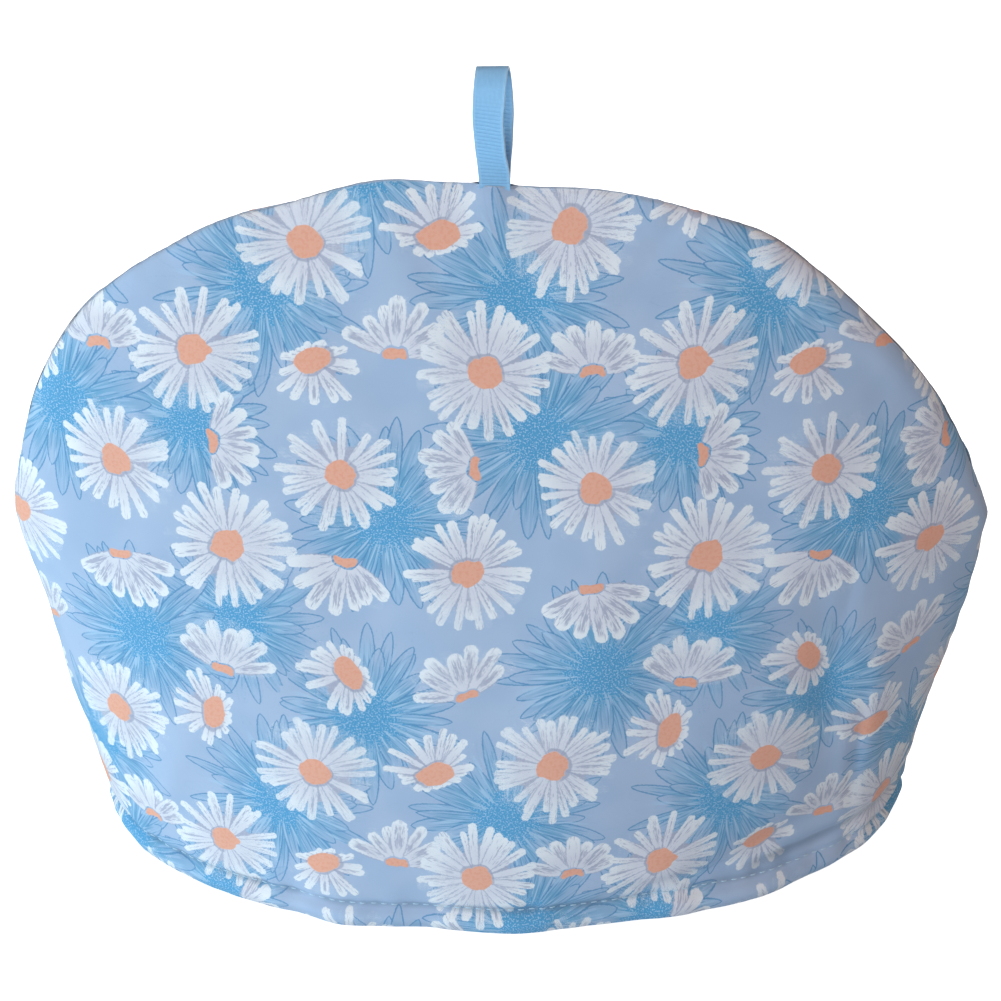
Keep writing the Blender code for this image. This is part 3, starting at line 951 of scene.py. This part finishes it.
def paint_daisies(colour):
    """Daisies seen from above or leaning: narrow strokes all round a lumpy peach middle."""
    place, form = read(cloth_nodes, "daisy_place"), read(cloth_nodes, "daisy_form")
    x, y, seed = place
    radius = form[0]
    leaning = form[2].is_near(float(LEANING))
    reach = length_of(x, y)
    lump = cloudy(x * 0.22, y * 0.22, seed * 7 + 0.4) - 0.5
    shaded = radius * (0.52 + leaning * (0.20 * y / reach.most(0.1) - 0.18))
    base = (reach - shaded + lump * 6 + rough * 3).fall(-1.0, 1.0)
    colour = colour_mix(base, colour, LAVENDER)
    colour = paint_strokes(colour, place, form, STROKE_HALF, 0.55, 0.55, leaning)
    disc = reach - radius * 0.235 + lump * 4
    oval = length_of(x * 0.8, y * 1.15) - radius * 0.27 + lump * 3
    middle = leaning.choose(disc, oval)
    shadow = (middle - 0.5).size().fall(0.2, 0.8) * (y - x).rise(-3.0, 3.0)
    colour = colour_mix(shadow * 0.7, colour, CENTRE_SHADE)
    return colour_mix((middle + rough * 0.5).fall(-0.2, 0.2), colour, peach)


colour = paint_blue_flowers(paint_blue_flowers(ground, "blue_below"), "blue_above")
colour = paint_daisies(paint_fans(colour))

# Shade in the seam, in the hollows and under the hem, the plain lining, and the weave.
colour = colour_mix(to_seam.fall(0.2, 1.2) * 0.6, colour, SEAM_SHADE)
hollow, _, _ = read(cloth_nodes, "hollow")
colour = colour_mix(hollow.rise(0.2, 2.0) * 0.6, colour, HOLLOW_SHADE)
colour = colour_mix(v.fall(1.2, 1.9) * 0.55, colour, EDGE_SHADE)
lined = v.fall(-TURNED_UP - 0.1, -TURNED_UP + 0.1)
colour = colour_mix(lined, colour, LINING)
warp = (u * (2 * math.pi / THREAD_PITCH)).math("SINE")
weft = (v * (2 * math.pi / THREAD_PITCH)).math("SINE")
slub = cloudy(u * 0.8, v * 6.0, 1.0)
weave = warp * weft * 0.5 + slub


def raise_weave(nodes, height):
    """Lets a signal stand out as fine relief on a cloth."""
    bump = nodes.new("ShaderNodeBump")
    bump.inputs["Strength"].default_value = WEAVE_STRENGTH
    bump.inputs["Distance"].default_value = WEAVE_DEPTH
    feed(bump.inputs["Height"], height)
    nodes.id_data.links.new(bump.outputs["Normal"], nodes["Principled BSDF"].inputs["Normal"])


cotton_shader = cloth_nodes["Principled BSDF"]
feed(cotton_shader.inputs["Base Color"], colour)
cotton_shader.inputs["Roughness"].default_value = COTTON_ROUGHNESS
cotton_shader.inputs["Sheen Weight"].default_value = COTTON_SHEEN
cotton_shader.inputs["Specular IOR Level"].default_value = COTTON_SHINE
raise_weave(cloth_nodes, weave)

for panel, face in ((front_panel, FRONT), (back_panel, BACK)):
    for layer, blooms in (
        ("blue_below", BLUE_BELOW), ("blue_above", BLUE_ABOVE), ("fan", FANS), ("daisy", DAISIES),
    ):
        lay_blooms(panel, layer, blooms, REPEAT_SHIFT[face])
    panel.data.materials.append(cotton)

# ---------------------------------------------------------------------------------------
# Topstitch. One row of pale thread runs round the mouth and holds the turned hem down. Each
# stitch is a short rounded length of thread that dips into the cloth at both ends.
STITCH_PITCH = 3.6
STITCH_LONG = 2.7
STITCH_THICK = 0.22
STITCH_PROUD = 0.06
STITCH_DIP = 0.4
STITCH_RINGS = 7
STITCH_SIDES = 6
ROW_END = 0.992
ROW_SAMPLES = 4001
THREAD_WHITE = (0.56, 0.74, 0.86)
THREAD_SHADE = (0.4816, 0.6364, 0.7396)

thread = bpy.data.materials.new("pale_thread")
thread.use_nodes = True
thread_nodes = thread.node_tree.nodes
thread_u, thread_v, _ = read(thread_nodes, "cloth")
twist = cloudy(thread_u * 6, thread_v * 6, 0.0).rise(0.3, 0.7)
thread_shader = thread_nodes["Principled BSDF"]
feed(thread_shader.inputs["Base Color"], colour_mix(twist, THREAD_SHADE, THREAD_WHITE))
thread_shader.inputs["Roughness"].default_value = 0.5
thread_shader.inputs["Sheen Weight"].default_value = 0.3


def face_outward(mesh):
    """Turns a closed mesh's faces outward."""
    turned = bmesh.new()
    turned.from_mesh(mesh)
    bmesh.ops.recalc_face_normals(turned, faces=turned.faces)
    turned.to_mesh(mesh)
    turned.free()


def topstitch(name, face):
    """The row of stitches on one panel."""
    across = np.linspace(-ROW_END, ROW_END, ROW_SAMPLES)
    lift = STITCH_UP * MM
    levels = np.repeat([[lift - MM], [lift], [lift + MM]], ROW_SAMPLES, axis=1)
    rows, normals = outer_skin(np.tile(across, (3, 1)), levels, face)
    line, outward = rows[1], normals[1]
    run = run_along(line) / MM
    starts = np.arange(STITCH_PITCH / 2, run[-1] - STITCH_PITCH, STITCH_PITCH)
    share = np.linspace(0, 1, STITCH_RINGS)
    points, polygons = [], []
    for number, start in enumerate(starts):
        at = start + share * STITCH_LONG
        centre = np.stack([np.interp(at, run, line[:, axis]) for axis in range(3)], axis=1)
        out = np.stack([np.interp(at, run, outward[:, axis]) for axis in range(3)], axis=1)
        along = np.gradient(centre, axis=0)
        along /= np.linalg.norm(along, axis=1, keepdims=True)
        up = np.cross(out, along)
        swell = np.sin(np.pi * (0.06 + 0.88 * share)) ** 0.4
        lifted = STITCH_PROUD - STITCH_DIP * (2 * share - 1) ** 4
        centre = centre + out * lifted[:, None] * MM
        for turn in np.linspace(0, 2 * np.pi, STITCH_SIDES, endpoint=False):
            side = out * np.cos(turn) + up * np.sin(turn)
            points.append(centre + side * (swell * STITCH_THICK)[:, None] * MM)
        base = number * STITCH_SIDES * STITCH_RINGS
        for side in range(STITCH_SIDES):
            here = base + side * STITCH_RINGS
            there = base + (side + 1) % STITCH_SIDES * STITCH_RINGS
            for ring in range(STITCH_RINGS - 1):
                polygons.append((here + ring, there + ring, there + ring + 1, here + ring + 1))
        ends = [base + side * STITCH_RINGS for side in range(STITCH_SIDES)]
        polygons.append(ends[::-1])
        polygons.append([end + STITCH_RINGS - 1 for end in ends])
    mesh = bpy.data.meshes.new(name)
    mesh.from_pydata(np.concatenate(points).tolist(), [], polygons)
    face_outward(mesh)
    place = mesh.attributes.new("cloth", "FLOAT_VECTOR", "POINT")
    place.data.foreach_set("vector", (np.concatenate(points) / MM).ravel())
    mesh.shade_smooth()
    mesh.materials.append(thread)
    stitches = bpy.data.objects.new(name, mesh)
    scene.collection.objects.link(stitches)
    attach(stitches, "root")
    return stitches


for panel, node, name, face in (
    (front_panel, "front_panel", "front_topstitch", FRONT),
    (back_panel, "back_panel", "back_topstitch", BACK),
):
    stitches = topstitch(name, face)
    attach(panel, "root")
    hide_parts(node)

# ---------------------------------------------------------------------------------------
# Hanging loop. A length of light blue grosgrain ribbon is folded double, its two ends are
# caught in the seam, and it is turned a little so that its back ply shows. Its top is
# PRESSED: flatter, turned back towards the front, level and without ribs.
RIBBON_THICK = 0.9 * MM
LOOP_RISE = 34.5 * MM
LOOP_BELLY = 5.0 * MM
LOOP_BOW = 1.2
LOOP_TUCK = 7.0 * MM
LOOP_PLY_GAP = 1.0 * MM
LOOP_TURN = math.radians(18)
LOOP_TURNED_BY = 10.0 * MM
LOOP_LEAN = -1.1 * MM
PRESSED_FROM = 20.0 * MM
PRESSED_FLAT = 0.4
PRESSED_BACK = 0.6
PRESSED_TILT = 0.09
PRESSED_SPAN = 9.0
RIB_PITCH = 1.2 * MM
RIBBON_THREAD_PITCH = 0.35
RIB_DEPTH = 0.16 * MM
SELVEDGE = 0.9 * MM
RIBBON_COLUMNS = 18
STEPS_PER_RIB = 6
RIBBON_BLUE = (0.27, 0.52, 0.78)
# A darker blue, used both as painted shade in the rib grooves and as the ribbon's uneven tone.
RIBBON_GROOVE_SHADE_AND_TONE = (0.20, 0.43, 0.68)
RIBBON_SELVEDGE = (0.31, 0.56, 0.80)


def loop_middle():
    """The ribbon's middle line in side view: up the front ply, over the top and down the back."""
    straight = (LOOP_PLY_GAP + RIBBON_THICK) / 2
    crown = HEIGHT + LOOP_RISE - LOOP_BELLY
    tuck = np.array([[-straight, HEIGHT - LOOP_TUCK], [-straight, HEIGHT - LOOP_TUCK / 2]])
    share = np.linspace(0, 1, 60)
    bowed = np.sin(share * math.pi / 2) ** LOOP_BOW
    ply = np.stack([-straight - (LOOP_BELLY - straight) * bowed, HEIGHT + (crown - HEIGHT) * share], axis=1)
    turn = np.linspace(0, math.pi, 60)[1:-1]
    over = np.stack([-LOOP_BELLY * np.cos(turn), crown + LOOP_BELLY * np.sin(turn)], axis=1)
    front = np.concatenate([tuck, ply])
    return np.concatenate([front, over, front[::-1] * [-1, 1]])


line = loop_middle()
run = run_along(line)
steps = round(run[-1] / RIB_PITCH * STEPS_PER_RIB)
at = np.linspace(0, run[-1], steps + 1)
middle = np.stack([np.interp(at, run, line[:, 0]), np.interp(at, run, line[:, 1])], axis=1)
heading = np.gradient(middle, axis=0)
heading /= np.linalg.norm(heading, axis=1, keepdims=True)
outward = np.stack([-heading[:, 1], heading[:, 0]], axis=1)
width = RIBBON_WIDTH * np.linspace(-0.5, 0.5, RIBBON_COLUMNS + 1)
inset = np.clip((RIBBON_WIDTH / 2 - np.abs(width)) / SELVEDGE, 0, 1) ** 2
ribs = np.abs(np.sin(math.pi * at / RIB_PITCH))[:, None] ** 0.7
pressed = np.clip((middle[:, 1:] - HEIGHT - PRESSED_FROM) / (LOOP_RISE - PRESSED_FROM), 0, 1)
thick = RIBBON_THICK / 2 - RIB_DEPTH * (1 - ribs) * inset * (1 - pressed)
layers = []
for side in (1, -1):
    y = middle[:, :1] * (1 - PRESSED_FLAT * pressed ** 2) + outward[:, :1] * thick * side
    z = middle[:, 1:] + outward[:, 1:] * thick * side
    clear = np.maximum(z - HEIGHT, 0)
    turn = LOOP_TURN * np.minimum(1, clear / LOOP_TURNED_BY) * (1 - PRESSED_BACK * pressed)
    layers.append(np.stack([
        LOOP_X + LOOP_LEAN * clear / LOOP_RISE + width * np.cos(turn) + y * np.sin(turn),
        y * np.cos(turn) - width * np.sin(turn),
        z + PRESSED_TILT * width * pressed,
    ], axis=-1))
ring = np.concatenate([layers[0], layers[1][:, ::-1]], axis=1)
number = np.arange(ring.shape[0] * ring.shape[1]).reshape(ring.shape[:2])
wrapped = np.concatenate([number, number[:, :1]], axis=1)
polygons = quads(wrapped[:-1, :-1], wrapped[1:, :-1], wrapped[1:, 1:], wrapped[:-1, 1:]).tolist()
polygons += [number[0].tolist(), number[-1, ::-1].tolist()]
loop_mesh = bpy.data.meshes.new("ribbon_loop")
loop_mesh.from_pydata(ring.reshape(-1, 3).tolist(), [], polygons)
face_outward(loop_mesh)
ribbon_place = np.stack(np.broadcast_arrays(
    np.concatenate([width, width[::-1]])[None, :], at[:, None], 0.0), axis=-1) / MM
place = loop_mesh.attributes.new("cloth", "FLOAT_VECTOR", "POINT")
place.data.foreach_set("vector", ribbon_place.ravel())
loop_mesh.shade_smooth()
loop_mesh.set_sharp_from_angle(angle=SHARP_ANGLE)

grosgrain = bpy.data.materials.new("grosgrain")
grosgrain.use_nodes = True
ribbon_nodes = grosgrain.node_tree.nodes
ribbon_x, ribbon_run, _ = read(ribbon_nodes, "cloth")
# Painted shade: the ribbon is darker blue in the grooves between its ribs, but not on the pressed top,
# which has no ribs.
groove = (ribbon_run * (math.pi / (RIB_PITCH / MM))).math("SINE").size().rise(0.0, 0.7)
from_top = (ribbon_run - run[-1] / MM / 2).size()
groove = groove.most(from_top.fall(PRESSED_SPAN, 2 * PRESSED_SPAN))
edge = ribbon_x.size().rise(RIBBON_WIDTH / 2 / MM - 1.0, RIBBON_WIDTH / 2 / MM - 0.7)
ribbon_colour = colour_mix(groove, RIBBON_GROOVE_SHADE_AND_TONE, RIBBON_BLUE)
ribbon_colour = colour_mix(edge, ribbon_colour, RIBBON_SELVEDGE)
# The same darker blue, mixed in unevenly, varies the ribbon's own tone.
tone = cloudy(ribbon_x * 1.5, ribbon_run * 0.4, 0.0).rise(0.3, 0.7)
ribbon_colour = colour_mix(tone * 0.25, ribbon_colour, RIBBON_GROOVE_SHADE_AND_TONE)
ribbon_shader = ribbon_nodes["Principled BSDF"]
feed(ribbon_shader.inputs["Base Color"], ribbon_colour)
ribbon_shader.inputs["Roughness"].default_value = 0.55
ribbon_shader.inputs["Sheen Weight"].default_value = 0.2
raise_weave(ribbon_nodes, (ribbon_x * (2 * math.pi / RIBBON_THREAD_PITCH)).math("SINE"))
loop_mesh.materials.append(grosgrain)

ribbon_loop = bpy.data.objects.new("ribbon_loop", loop_mesh)
scene.collection.objects.link(ribbon_loop)
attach(ribbon_loop, "root")
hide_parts("hanging_loop")
